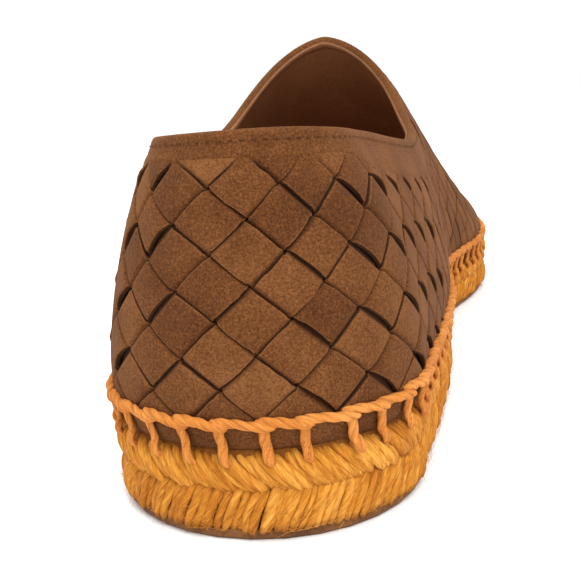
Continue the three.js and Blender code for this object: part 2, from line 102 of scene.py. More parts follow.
def ground(y):
    archFrom, archTo, archRise = last["arch"]
    springFrom, springRise = last["spring"]
    arch = np.clip((y - archFrom) / (archTo - archFrom), 0, 1)
    toe = np.clip((y - springFrom) / (last["length"] - springFrom), 0, 1)
    return archRise * np.sin(math.pi * arch) ** 2 + springRise * toe * toe


def soleTop(y):
    return ground(y) + last["heelSole"] + (last["foreSole"] - last["heelSole"]) * smooth(y, *last["taper"])


def halfWidth(y, inset=0.0):
    heel = (last["heelRound"] - y) / (last["heelRound"] - inset)
    toe = (y - last["toeStart"]) / (last["length"] - inset - last["toeStart"])
    return (halfAt(np.maximum(y, last["heelRound"])) - inset) * cap(heel, 2) * cap(toe, last["toeShape"])


heelArc = math.pi / 2 * (last["heelRound"] - last["footInset"])
tipY = last["length"] - last["footInset"]
throatRound = heelArc + last["throat"] - last["heelRound"]


def ridgeRise(y):
    drop = (y - last["toeDropStart"]) / (tipY - last["toeDropStart"])
    return (ridgeAt(y) - soleTop(y)) * cap(drop, last["toeDropShape"])


walkY = last["throat"] + (tipY - last["throat"]) * np.sin(np.linspace(0, math.pi / 2, 801))
walkSteps = np.hypot(np.diff(walkY), np.diff(soleTop(walkY) + ridgeRise(walkY)))
walkFar = np.concatenate([[0], np.cumsum(walkSteps)])
tipRound = throatRound + walkFar[-1]
gridStep, gridUp = 0.5, 160  # millimetres between sections, and steps up each section


def sectionGrid():
    count = int(math.ceil(tipRound / gridStep)) + 1
    at = np.minimum(np.arange(count) * gridStep, tipRound)
    heel = at < heelArc
    turn = np.where(heel, math.pi / 2 * (1 - at / heelArc), 0)
    behindThroat = last["heelRound"] + at - heelArc
    pastThroat = np.interp(at - throatRound, walkFar, walkY)
    y = np.where(heel, last["heelRound"], np.where(at <= throatRound, behindThroat, pastThroat))
    wide = np.maximum(halfWidth(y, last["footInset"]), 1e-6)
    deep = last["heelRound"] - last["footInset"]
    base = np.where(heel, 1 / np.hypot(np.cos(turn) / wide, np.sin(turn) / deep), wide)
    foot = soleTop(y) + last["gap"]
    side = ridgeAt(last["heelRound"])
    heelRidge = side + (last["backRidge"] - side) * np.sin(turn) ** 2
    rise = np.maximum(np.where(heel, heelRidge - foot, ridgeRise(y) - last["gap"]), 0)
    swell = np.minimum(np.minimum(last["swellOut"], base * 0.2), rise * 0.1)
    angle = np.linspace(0, math.pi / 2, 49)
    cosine = np.maximum(np.cos(angle), 0)
    cosine[-1] = 0
    over = rise[:, None] * np.sin(angle)
    belly = over / last["swellUp"] * np.exp(1 - over / last["swellUp"]) * cosine
    out = base[:, None] * cosine[None, :] ** (2 / fullAt(y))[:, None] + swell[:, None] * belly
    up = foot[:, None] + over
    along = np.cumsum(np.hypot(np.diff(out, axis=1), np.diff(up, axis=1)), axis=1)
    along = np.concatenate([np.zeros((count, 1)), along], axis=1)
    even = np.linspace(0, 1, gridUp + 1)
    outEven = np.array([np.interp(even * a[-1], a, o) for a, o in zip(along, out)])
    upEven = np.array([np.interp(even * a[-1], a, u) for a, u in zip(along, up)])
    return at, turn, y, foot, rise, outEven, upEven, along[:, -1]


gridAt, gridTurn, gridY, gridFoot, gridRise, gridOut, gridHigh, gridLength = sectionGrid()
throatLength = np.interp(throatRound, gridAt, gridLength)
slopeStep = 4
lengthSlope = (np.interp(throatRound + slopeStep, gridAt, gridLength) - throatLength) / slopeStep


# length of the plaited sheet from the ridge to the sole
def sheetDepth(around):
    around = np.abs(np.asarray(around, float))
    back = np.clip((throatRound - around) / last["levelOut"], 0, 1)
    behind = throatLength - lengthSlope * last["levelOut"] * (back - back ** 3 / 3)
    depth = np.where(around >= throatRound, np.interp(around, gridAt, gridLength), behind)
    return np.where(around > tipRound, tipRound - around, depth)


# a point of the upper's outer face: around from the heel, down from the ridge (negative on the outer side)
def lastPoint(around, down):
    around, down = np.broadcast_arrays(np.asarray(around, float), np.asarray(down, float))
    mirror = np.where(around < 0, -1.0, 1.0)
    around, down = around * mirror, down * mirror
    inside = np.minimum(around, tipRound)
    i = np.clip((inside / gridStep).astype(int), 0, len(gridAt) - 2)
    t = np.clip((inside - gridAt[i]) / np.maximum(gridAt[i + 1] - gridAt[i], 1e-9), 0, 1)
    length = gridLength[i] * (1 - t) + gridLength[i + 1] * t
    wanted = np.clip(sheetDepth(around) - np.abs(down), 0, length)
    q = wanted / np.maximum(length, 1e-9) * gridUp
    j = np.clip(q.astype(int), 0, gridUp - 1)
    s = q - j

    def look(table):
        low = table[i, j] * (1 - s) + table[i, j + 1] * s
        high = table[i + 1, j] * (1 - s) + table[i + 1, j + 1] * s
        return low * (1 - t) + high * t

    def pick(row):
        return row[i] * (1 - t) + row[i + 1] * t

    turn, y, out, high = pick(gridTurn), pick(gridY), look(gridOut), look(gridHigh)
    # the inner side is drawn in at the waist, less and less towards the ridge
    share = np.clip((high - pick(gridFoot)) / np.maximum(pick(gridRise), 1e-6), 0, 1)
    inner = innerAt(y) * (1 - share) + share
    across = centreAt(y) + np.where(down < 0, -1.0, inner) * out * np.cos(turn)
    return np.stack([across, y - out * np.sin(turn), high], -1)


def unit(v):
    return v / np.maximum(np.linalg.norm(v, axis=-1, keepdims=True), 1e-9)


def lastNormal(around, down):
    step = 0.6
    around, down = np.broadcast_arrays(np.asarray(around, float), np.asarray(down, float))
    ahead = lastPoint(np.minimum(around + step, tipRound - 0.05), down)
    alongRound = ahead - lastPoint(np.minimum(around, tipRound - 1) - step, down)
    alongDown = lastPoint(around, down + step) - lastPoint(around, down - step)
    return unit(np.cross(alongDown, alongRound))


def lifted(around, down, lift):
    return lastPoint(around, down) + lastNormal(around, down) * np.asarray(lift)[..., None]


def overSole(around, down):
    return sheetDepth(around) - np.abs(down)


def underTopline(around, down):
    p = lastPoint(around, down)
    return toplineAt(p[..., 1]) - p[..., 2]


# distance under the opening's edge along the wall, and the way there
def edgeDistance(around, down):
    step = 0.25
    here = underTopline(around, down)
    slopeRound = (underTopline(around + step, down) - underTopline(around - step, down)) / (2 * step)
    slopeDown = (underTopline(around, down + step) - underTopline(around, down - step)) / (2 * step)
    steep = np.maximum(np.hypot(slopeRound, slopeDown), 0.35)
    return here / steep, slopeRound / steep, slopeDown / steep


def crossing(f, start, way):
    far = np.arange(0.01, 150.0, 1.0)
    spots = start[:, None, :] + way[:, None, :] * far[None, :, None]
    inside = f(spots[..., 0], spots[..., 1]) >= 0
    k = np.argmax(inside != inside[:, :1], axis=1)
    low, high = far[np.maximum(k - 1, 0)], far[k]
    for _ in range(36):
        middle = (low + high) / 2
        spot = start + way * middle[:, None]
        same = (f(spot[:, 0], spot[:, 1]) >= 0) == inside[:, 0]
        low, high = np.where(same, middle, low), np.where(same, high, middle)
    return start + way * low[:, None]


# where the rays that look for a level line begin to fan out
toplineFan, footFan = throatRound - 45, tipRound - 70


# a level line round the whole upper, evenly spaced, from the back of the heel over the outer side
def loopAlong(f, fanFrom, count):
    loop, total = [], 0.0
    for side in (-1.0, 1.0):
        u = np.linspace(0, fanFrom, 240, endpoint=False)
        straight = crossing(f, np.stack([u, 0 * u], -1), np.stack([0 * u, 0 * u + side], -1))
        angle = np.linspace(math.pi / 2, 0, 241)
        fan = np.stack([np.cos(angle), side * np.sin(angle)], -1)
        fanStart = np.stack([0 * angle + fanFrom, 0 * angle], -1)
        half = np.concatenate([straight, crossing(f, fanStart, fan)])
        steps = np.linalg.norm(np.diff(lastPoint(half[:, 0], half[:, 1]), axis=0), axis=1)
        along = np.concatenate([[0], np.cumsum(steps)])
        total += along[-1]
        share = np.arange(count // 2) / (count / 2)
        share = share if side < 0 else 1 - share
        loop.append(np.stack([np.interp(share * along[-1], along, half[:, c]) for c in (0, 1)], -1))
    return np.concatenate(loop), total


# places on a closed line, with the ways along it, out of the wall and up
def framesOf(loop):
    spot = lastPoint(loop[:, 0], loop[:, 1])
    along = unit(np.roll(spot, -1, 0) - np.roll(spot, 1, 0))
    out = lastNormal(loop[:, 0], loop[:, 1])
    return spot, along, out, unit(np.cross(along, out))


# the place in a closed line of count points for a share of its length
def nearest(share, count):
    return np.mod(np.round(share * count).astype(int), count)


# outline of the sole: 0 at the back of the heel, a half at the toe, 1 back at the heel
def soleOutline():
    y = last["length"] / 2 * (1 - np.cos(np.linspace(0, math.pi, 481)))
    sides = []
    for side in (-1, 1):
        share = innerAt(y) if side > 0 else 1.0
        points = np.stack([centreAt(y) + side * share * halfWidth(y), y], -1)
        along = np.concatenate([[0], np.cumsum(np.linalg.norm(np.diff(points, axis=0), axis=1))])
        sides.append((points, along))
    return sides


# rope sole: height of its under side, spacing of its turns, and the core inside them
braid = {"low": 2.5, "pitch": 7.2, "core": 2.6, "coreSteps": 200, "steps": 13, "sides": 8}
outlineSides = soleOutline()
outlineLength = outlineSides[0][1][-1] + outlineSides[1][1][-1]


def outlineAt(share):
    turn = np.mod(share, 1.0)
    result = []
    for side, (points, along) in enumerate(outlineSides):
        wanted = (turn * 2 if side == 0 else 2 - turn * 2) * along[-1]
        result.append(np.stack([np.interp(wanted, along, points[:, c]) for c in (0, 1)], -1))
    return np.where((turn < 0.5)[..., None], result[0], result[1])


def outlineWay(share):
    step = 0.002
    return unit(outlineAt(share + step) - outlineAt(share - step))


# a point near the sole's edge: inset from the outline, at a share of the rope's height
def soleEdge(share, inset, level):
    along = outlineWay(share)
    inward = np.stack([along[..., 1], -along[..., 0]], -1)
    spot = outlineAt(share) + inward * np.asarray(inset)[..., None]
    low = ground(spot[..., 1]) + braid["low"]
    height = low + (soleTop(spot[..., 1]) - low) * level
    return np.concatenate([spot, height[..., None]], -1)


# ways along the outline and out of the sole, in three dimensions
def edgeWays(share):
    along = outlineWay(share)
    level = np.zeros(share.shape + (1,))
    return np.concatenate([along, level], -1), np.concatenate([-along[..., 1:], along[..., :1], level], -1)


def toRow(points):
    return (np.asarray(points, float) - np.array([last["middle"][0], last["middle"][1], 0.0])) * 0.001


def addMesh(name, points, faces, materials, faceSlots=None, attributes=None):
    mesh = bpy.data.meshes.new(name)
    mesh.from_pydata(toRow(points).tolist(), [], faces)
    for material in materials:
        mesh.materials.append(material)
    if faceSlots is not None:
        mesh.polygons.foreach_set("material_index", np.asarray(faceSlots, np.int32))
    for key, values in (attributes or {}).items():
        values = np.asarray(values, np.float32)
        kind = "FLOAT" if values.ndim == 1 else "FLOAT_VECTOR"
        layer = mesh.attributes.new(key, kind, "POINT")
        layer.data.foreach_set("value" if values.ndim == 1 else "vector", values.ravel())
    mesh.polygons.foreach_set("use_smooth", np.ones(len(mesh.polygons), bool))
    mesh.update()
    piece = bpy.data.objects.new(name, mesh)
    bpy.context.scene.collection.objects.link(piece)
    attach(piece, "root")
    return piece


# faces of many tubes at once: paths of (tubes, steps, sides) points, closed at both ends or into rings
def tubeFaces(tubes, steps, sides, ringed=False):
    ids = np.arange(tubes * steps * sides).reshape(tubes, steps, sides)
    here = ids if ringed else ids[:, :-1]
    ahead = np.roll(ids, -1, 1) if ringed else ids[:, 1:]
    quads = np.stack([here, np.roll(here, -1, 2), np.roll(ahead, -1, 2), ahead], -1).reshape(-1, 4).tolist()
    if not ringed:
        quads += ids[:, 0, ::-1].tolist() + ids[:, -1].tolist()
    return quads


# sweeps a lobed, twisted yarn section along paths of (tubes, steps, 3)
def twistedTubes(paths, out, radius, sides, lobes, depth, turnsPerMm, flat=1.0, phase=0.0):
    tangent = unit(np.gradient(paths, axis=1))
    out = unit(out - tangent * np.sum(out * tangent, -1, keepdims=True))
    aside = np.cross(tangent, out)
    steps = np.linalg.norm(np.diff(paths, axis=1), axis=-1)
    along = np.concatenate([np.zeros((len(paths), 1)), np.cumsum(steps, axis=1)], axis=1)
    angle = np.linspace(0, 2 * math.pi, sides, endpoint=False)
    twist = 2 * math.pi * turnsPerMm * along + phase
    ply = 1 + depth * (np.abs(np.cos(lobes / 2 * (angle - twist[..., None]))) - 0.6)
    reach = np.broadcast_to(radius, along.shape)[..., None] * ply
    ring = np.cos(angle)[:, None] * out[:, :, None, :] * flat + np.sin(angle)[:, None] * aside[:, :, None, :]
    points = paths[:, :, None, :] + ring * reach[..., None]
    spin = angle - twist[..., None]
    far = np.broadcast_to(along[..., None], spin.shape)
    fibre = np.stack([far * 0.12, np.cos(spin) * reach, np.sin(spin) * reach], -1)
    groove = np.abs(np.cos(lobes / 2 * spin))
    return points, fibre, groove


print("last ready", round(float(tipRound), 1))


# materials
def makeMaterial(name):
    material = bpy.data.materials.new(name)
    material.use_nodes = True
    tree = material.node_tree
    return material, tree, tree.nodes["Principled BSDF"]


def addNode(tree, kind, inputs=None, **settings):
    node = tree.nodes.new(kind)
    for key, value in settings.items():
        setattr(node, key, value)
    for key, value in (inputs or {}).items():
        if isinstance(value, bpy.types.NodeSocket):
            tree.links.new(value, node.inputs[key])
        else:
            node.inputs[key].default_value = value
    return node


def readAttribute(tree, name):
    return addNode(tree, "ShaderNodeAttribute", attribute_name=name, attribute_type="GEOMETRY")


def noise(tree, vector, scale, detail=2.0, rough=0.5):
    inputs = {"Vector": vector, "Scale": scale, "Detail": detail, "Roughness": rough}
    return addNode(tree, "ShaderNodeTexNoise", inputs).outputs["Fac"]


def spread(tree, value, low, high, toLow, toHigh):
    node = addNode(tree, "ShaderNodeMapRange", {"Value": value, "From Min": low, "From Max": high,
                                                "To Min": toLow, "To Max": toHigh})
    return node.outputs["Result"]


# sockets 6, 7 and output 2 of a mix are its colours
def mixColour(tree, factor, a, b):
    inputs = {0: factor, 6: a, 7: b}
    return addNode(tree, "ShaderNodeMix", inputs, data_type="RGBA", blend_type="MIX").outputs[2]


def maths(tree, operation, a, b):
    return addNode(tree, "ShaderNodeMath", {0: a, 1: b}, operation=operation).outputs[0]


def addBump(tree, shader, height, strength, distance):
    bump = addNode(tree, "ShaderNodeBump", {"Height": height, "Strength": strength, "Distance": distance})
    tree.links.new(bump.outputs["Normal"], shader.inputs["Normal"])


# a colour as seen on a screen, in the values that a shader takes
def linear(red, green, blue):
    def one(v):
        v /= 255
        return v / 12.92 if v <= 0.04045 else ((v + 0.055) / 1.055) ** 2.4
    return (one(red), one(green), one(blue), 1.0)


# dark, middle and pale colour as the wear goes from low to high
def threeTones(tree, worn, look):
    darkToMid = spread(tree, worn, look["lowest"], 0.0, 0.0, 1.0)
    low = mixColour(tree, darkToMid, linear(*look["dark"]), linear(*look["mid"]))
    midToPale = spread(tree, worn, 0.0, 0.8, 0.0, 1.0)
    return mixColour(tree, midToPale, low, linear(*look["pale"]))


# colours are 0 to 255, and the scales of the patterns per metre
# deep is the colour of the painted shade; pale also paints the highlight on cut edges
suedeLook = {"dark": (60, 31, 11), "mid": (92, 53, 23), "pale": (124, 80, 44), "deep": (44, 19, 10),
             "sheen": (220, 160, 108), "lowest": -0.7, "blotch": 70.0, "nap": 2100.0, "fluff": 4600.0}


def suedeMaterial():
    material, tree, shader = makeMaterial("suede")
    place = addNode(tree, "ShaderNodeTexCoord").outputs["Object"]
    blotch = noise(tree, place, suedeLook["blotch"], 4.0, 0.6)
    nap = noise(tree, place, suedeLook["nap"], 3.0, 0.7)
    fluff = noise(tree, place, suedeLook["fluff"], 2.0, 0.6)
    tint = readAttribute(tree, "tint").outputs["Fac"]
    worn = maths(tree, "ADD", spread(tree, blotch, 0.3, 0.7, -0.28, 0.28), tint)
    worn = maths(tree, "ADD", worn, spread(tree, nap, 0.3, 0.7, -0.5, 0.5))
    worn = maths(tree, "ADD", worn, spread(tree, fluff, 0.25, 0.75, -0.45, 0.45))
    colour = threeTones(tree, worn, suedeLook)
    # paler cut edges and fold top; along the strips' edges this is partly a painted highlight where the
    # raised cut edge catches light
    rim = readAttribute(tree, "edge").outputs["Fac"]
    rim = maths(tree, "MULTIPLY", rim, spread(tree, nap, 0.35, 0.65, 0.15, 0.75))
    colour = mixColour(tree, rim, colour, linear(*suedeLook["pale"]))
    # painted shade: the shade attribute mixes the colour towards the deep one in gaps, slits, ends and under
    # faces
    painted_shade = readAttribute(tree, "painted_shade").outputs["Fac"]
    colour = mixColour(tree, painted_shade, colour, linear(*suedeLook["deep"]))
    tree.links.new(colour, shader.inputs["Base Color"])
    shader.inputs["Roughness"].default_value = 0.95
    shader.inputs["Specular IOR Level"].default_value = 0.15
    shader.inputs["Sheen Weight"].default_value = 0.12
    shader.inputs["Sheen Roughness"].default_value = 0.45
    shader.inputs["Sheen Tint"].default_value = linear(*suedeLook["sheen"])
    addBump(tree, shader, maths(tree, "ADD", nap, fluff), 0.35, 0.0004)
    return material


# a smooth sheet with broad patches and a fine grain
def sheetMaterial(name, look):
    material, tree, shader = makeMaterial(name)
    place = addNode(tree, "ShaderNodeTexCoord").outputs["Object"]
    blotch = noise(tree, place, look["blotch"], 4.0, 0.6)
    grain = noise(tree, place, look["grain"], 2.0, 0.5)
    patches = spread(tree, blotch, 0.3, 0.7, *look["patches"])
    specks = spread(tree, grain, 0.3, 0.7, -look["specks"], look["specks"])
    factor = maths(tree, "ADD", patches, specks)
    colour = mixColour(tree, factor, linear(*look["dark"]), linear(*look["light"]))
    tree.links.new(colour, shader.inputs["Base Color"])
    shader.inputs["Roughness"].default_value = look["roughness"]
    shader.inputs["Specular IOR Level"].default_value = look["shine"]
    addBump(tree, shader, grain, look["bump"], 0.0002)
    return material


liningLook = {"dark": (100, 60, 36), "light": (176, 122, 80), "blotch": 40.0, "grain": 900.0,
              "patches": (0.35, 0.65), "specks": 0.15, "roughness": 0.48, "shine": 0.4, "bump": 0.2}
rubberLook = {"dark": (82, 48, 21), "light": (126, 82, 43), "blotch": 90.0, "grain": 1500.0,
              "patches": (0.1, 0.9), "specks": 0.2, "roughness": 0.8, "shine": 0.3, "bump": 0.3}


def fibreMaterial(name, look):
    material, tree, shader = makeMaterial(name)
    along = readAttribute(tree, "fibre").outputs["Vector"]
    place = addNode(tree, "ShaderNodeTexCoord").outputs["Object"]
    strands = noise(tree, along, look["fine"], 3.0, 0.6)
    broad = noise(tree, along, look["broad"], 2.0, 0.5)
    blotch = noise(tree, place, look["blotch"], 3.0, 0.6)
    tint = readAttribute(tree, "tint").outputs["Fac"]
    fineWear = spread(tree, strands, 0.3, 0.7, -0.5, 0.5)
    worn = maths(tree, "ADD", fineWear, spread(tree, broad, 0.3, 0.7, -0.25, 0.25))
    worn = maths(tree, "ADD", worn, spread(tree, blotch, 0.3, 0.7, -0.25, 0.25))
    worn = maths(tree, "ADD", worn, tint)
    colour = threeTones(tree, worn, look)
    # painted shade: mixed towards the deep colour in ply grooves, at the ends of turns and over the core
    painted_shade = readAttribute(tree, "painted_shade").outputs["Fac"]
    colour = mixColour(tree, painted_shade, colour, linear(*look["deep"]))
    tree.links.new(colour, shader.inputs["Base Color"])
    shader.inputs["Roughness"].default_value = look["roughness"]
    shader.inputs["Specular IOR Level"].default_value = 0.25
    addBump(tree, shader, strands, 0.6, 0.0006)
    return material


# fine and broad strands are per millimetre across the fibre
# deep is the colour of the painted shade
juteLook = {"dark": (142, 74, 6), "mid": (186, 116, 29), "pale": (222, 158, 66), "deep": (84, 38, 5),
            "lowest": -0.8, "blotch": 30.0, "fine": 3.4, "broad": 0.9, "roughness": 0.9}
yarnLook = {"dark": (164, 90, 28), "mid": (196, 119, 46), "pale": (224, 150, 76), "deep": (110, 50, 14),
            "lowest": -0.8, "blotch": 30.0, "fine": 5.0, "broad": 1.2, "roughness": 0.85}

suede = suedeMaterial()
lining = sheetMaterial("lining", liningLook)
jute = fibreMaterial("jute", juteLook)
yarn = fibreMaterial("yarn", yarnLook)
rubber = sheetMaterial("rubber", rubberLook)
print("materials ready")

# the plait: diamonds of flat strips that pass over and under
plait = {
    "along": 13.8, "up": 12.1,  # a diamond
    "top": 0.78, "end": -0.4, "thick": 1.05, "brink": 0.16,  # heights over the last, and the strip's edge
    "crown": 0.06, "worn": 0.16, "tuck": 0.6, "deepest": -1.5,  # rounding, and how far an end dives on
    "wide": 0.975, "narrow": 0.955,  # share of a diamond that a strip covers, at its middle and its ends
    "jitter": 0.012, "wobble": 0.007, "uneven": 0.06, "motley": 0.13,  # how unlike each other the strips are
    "gape": 0.55, "slit": 0.27, "gapeFrom": (5, 26), "gapeTo": (84, 116),  # open edges along the flanks
    "topBand": 4.4, "topSoft": 2.6, "footBand": 5.0, "footSoft": 1.6, "bandLift": 0.62,
    "flankBand": 4.6, "flankFrom": (28, 48), "flankTo": (45, 15),  # deeper on the flanks, to near the throat
    "moveOn": (50, 145),  # along the outer side
    "spread": 4.0, "spreadAt": -14, "spreadOver": 12, "spreadHigh": (15, 47),
    "lower": 1.1, "lowerFrom": (0, 15), "lowerTo": (50, 100),  # the outer side lies lower by the heel
    "foldRoom": 2.6,  # strips stay this far under the opening's edge
}


# where the plait lies: it spreads at the upper left of the heel, and the outer side moves on
# by half a diamond so that both sides meet in step over the toes
def plaitPlace(around, down, side):
    ahead = np.where(side < 0, smooth(around, *plait["moveOn"]), 0)
    turn = side * around
    spreadLow, spreadTop = plait["spreadHigh"]
    high = np.clip((overSole(around, down) - spreadLow) / (spreadTop - spreadLow), 0, 1)
    spreadOut = plait["spread"] * np.exp(-((turn - plait["spreadAt"]) / plait["spreadOver"]) ** 2) * high
    sunk = smooth(around, *plait["lowerFrom"]) * (1 - smooth(around, *plait["lowerTo"]))
    lower = plait["lower"] * np.where(side < 0, sunk, 0)
    return around + plait["along"] / 2 * ahead - side * spreadOut, down + plait["up"] / 2 * ahead - lower


# middles of the diamonds, and whether the strip on top there is one of the first family
def plaitCells():
    i = np.arange(0, int(2 * tipRound / plait["along"]) + 2)
    j = np.arange(-26, 27)  # enough rows for the deepest place of the sheet
    i, j = [a.ravel() for a in np.meshgrid(i, j, indexing="ij")]
    odd = (i + j) % 2 != 0
    i, j = i[odd], j[odd]
    around = plait["along"] * (0.25 + i / 2)
    down = plait["up"] * (0.25 + j / 2)
    side = np.sign(down)
    newAround, newDown = plaitPlace(around, down, side)
    aboveSole = overSole(newAround, newDown) > 1.0
    belowEdge = edgeDistance(newAround, newDown)[0] > -0.5
    kept = aboveSole & belowEdge & (newDown * side > 0)
    # the plait runs on unbroken round the heel
    even = (i % 2 == 0) == (side > 0)
    return even[kept], around[kept], down[kept]


# how far a place belongs to the plain bands: under the opening's edge and over the sole
def bandShare(around, far, foot):
    toThroat = [throatRound - behind for behind in plait["flankTo"]]
    deeper = plait["flankBand"] * smooth(around, *plait["flankFrom"])
    deep = plait["topBand"] + deeper * (1 - smooth(around, *toThroat))
    atTop = 1 - smooth(far, deep - 0.6, deep + plait["topSoft"])
    atFoot = 1 - smooth(foot, plait["footBand"] - 0.6, plait["footBand"] + plait["footSoft"])
    return np.maximum(atTop, atFoot)


# the band thins towards the folded edge
def bandLevel(far):
    return plait["bandLift"] * (0.16 + 0.84 * smooth(far, 1.0, 4.2))


def bothWays(steps):
    steps = np.array(steps)
    return np.concatenate([-steps[:0:-1], steps])


# closed bodies of strips from their top faces, a lip just under the edge, and the under faces
def closedStrips(top, lip, under, flipped):
    count, rows, columns = top.shape[:3]
    ids = np.arange(rows * columns).reshape(rows, columns)
    rim = np.concatenate([ids[:-1, 0], ids[-1, :-1], ids[:0:-1, -1], ids[0, :0:-1]])
    topCount, rimCount = rows * columns, len(rim)
    flatTop, flatLip, flatUnder = [face.reshape(count, topCount, 3) for face in (top, lip, under)]
    middle = flatUnder[:, [ids[rows // 2, columns // 2]]]
    body = np.concatenate([flatTop, flatLip[:, rim], flatUnder[:, rim], middle], axis=1)
    quads = np.stack([ids[:-1, :-1], ids[:-1, 1:], ids[1:, 1:], ids[1:, :-1]], -1).reshape(-1, 4)
    lipIds = topCount + np.arange(rimCount)
    lowIds = lipIds + rimCount
    rings = ((rim, lipIds), (lipIds, lowIds))
    skirt = np.concatenate([np.stack([a, np.roll(a, -1), np.roll(b, -1), b], -1) for a, b in rings])
    fan = np.stack([lowIds, np.roll(lowIds, -1), np.full(rimCount, topCount + 2 * rimCount)], -1)
    if flipped:
        quads, skirt, fan = quads[:, ::-1], skirt[:, ::-1], fan[:, ::-1]
    start = (np.arange(count) * body.shape[1])[:, None, None]
    faces = (quads + start).reshape(-1, 4).tolist() + (skirt + start).reshape(-1, 4).tolist()
    faces += (fan + start).reshape(-1, 3).tolist()
    return body, faces, rim


def makeStrips(name, even):
    evenCells, around, down = plaitCells()
    chosen = evenCells == even
    around, down = around[chosen], down[chosen]
    count = len(around)
    # along and across a strip, in diamonds: close steps where it dips and at its edges
    s = bothWays([0, 0.2, 0.37, 0.42, 0.46, 0.495, 0.525, 0.58, 0.66])
    t = bothWays([0, 0.2, 0.38, 0.46, 0.49, 0.5])
    width = plait["wide"] + dice.normal(0, plait["jitter"], count)[:, None, None]
    shift = dice.normal(0, plait["jitter"], (2, count))[..., None, None]
    slant = dice.normal(0, plait["jitter"], count)[:, None, None]
    sGrid = np.broadcast_to(s[None, :, None], (count, len(s), len(t))) + shift[0]
    taper = 1 - (1 - plait["narrow"]) * smooth(np.abs(s), 0.2, 0.5)[None, :, None]
    wobble = dice.normal(0, plait["wobble"], (count, len(s), 1)) * (np.abs(t) > 0.3)[None, None, :]
    sign = 1.0 if even else -1.0
    # strips that run down towards the toe stand open along their back edge, and leave a slit there
    falling = np.sign(down) == sign
    flank = smooth(around, *plait["gapeFrom"]) * (1 - 0.85 * smooth(around, *plait["gapeTo"]))
    bowed = np.clip(1 - (s / 0.52) ** 2, 0, 1)[None, :, None]
    slit = np.where(falling, plait["slit"] * flank * dice.uniform(0.6, 1.2, count), 0)[:, None, None]
    drawn = 1 - slit * smooth(-t, 0.3, 0.5)[None, None, :] * bowed
    tGrid = t[None, None, :] * width * taper * drawn + shift[1] + slant * sGrid + wobble
    spotAround = around[:, None, None] + plait["along"] / 2 * (sGrid + tGrid)
    spotDown = down[:, None, None] + sign * plait["up"] / 2 * (sGrid - tGrid)
    spotAround, spotDown = plaitPlace(spotAround, spotDown, np.sign(down)[:, None, None])
    top = plait["top"] + dice.normal(0, plait["uneven"], count)[:, None, None]
    ends = smooth(np.abs(s), 0.4, 0.535)[None, :, None]
    tuck = plait["tuck"] * smooth(np.abs(s), 0.53, 0.66)[None, :, None]
    lift = top + (plait["end"] - top) * ends - tuck
    crown = plait["crown"] * (1 - (2 * t) ** 2)[None, None, :]
    lift = lift + crown - plait["worn"] * smooth(np.abs(t), 0.46, 0.5)[None, None, :]
    gape = np.where(falling, plait["gape"] * (0.2 + 0.8 * flank), 0.05) + dice.normal(0, 0.1, count)
    gape = np.maximum(gape, 0)[:, None, None]
    lift = lift + gape * smooth(-t, -0.1, 0.5)[None, None, :] * bowed
    far, wayRound, wayDown = edgeDistance(spotAround, spotDown)
    push = np.maximum(plait["foldRoom"] - far, 0)
    spotAround, spotDown = spotAround + wayRound * push, spotDown + wayDown * push
    merge = bandShare(spotAround, far, overSole(spotAround, spotDown))
    lift = lift + (bandLevel(far + push) - 0.14 - lift) * merge
    points = lifted(spotAround, spotDown, lift)
    under = lifted(spotAround, spotDown, np.maximum(lift - plait["thick"], plait["deepest"]))
    brink = lifted(spotAround, spotDown, lift - plait["brink"])
    body, faces, rim = closedStrips(points, brink, under, even)
    per, topCount, rimCount = body.shape[1], len(s) * len(t), len(rim)
    tint = np.repeat(dice.normal(0, plait["motley"], count), per)
    # paler cut edges, partly a painted highlight, and painted shade on the ends where they dive under, on the
    # sides in the open slits and on the under faces
    edge = np.zeros((count, per))
    side = smooth(np.abs(t), 0.45, 0.5)[None, None, :] * (1 - merge)
    edge[:, :topCount] = side.reshape(count, -1)
    edge[:, topCount:topCount + rimCount] = 0.5 * side.reshape(count, -1)[:, rim]
    painted_shade = np.zeros((count, per))
    shadedEnds = np.broadcast_to(smooth(np.abs(s), 0.43, 0.55)[None, :, None], merge.shape)
    painted_shade[:, :topCount] = (shadedEnds * (1 - merge) * 0.75).reshape(count, -1)
    # painted shade on the cut sides, deeper where the flank's slits open
    shade = 0.3 + 0.5 * np.where(falling, flank, 0.3 * flank)
    painted_shade[:, topCount:topCount + rimCount] = shade[:, None] * (1 - merge.reshape(count, -1)[:, rim])
    painted_shade[:, topCount + rimCount:] = 0.9
    attributes = {"tint": tint, "edge": edge.ravel(), "painted_shade": painted_shade.ravel()}
    piece = addMesh(name, body.reshape(-1, 3), faces, [suede], attributes=attributes)
    print(name, count, "strips", sum(len(face) - 2 for face in faces), "triangles")
    return piece


stripsA = makeStrips("suede_strips_a", True)
stripsB = makeStrips("suede_strips_b", False)

# the wall behind the strips, with its plain bands and the lining inside
wall = {"around": 300, "back": -0.75, "inside": -last["wall"]}


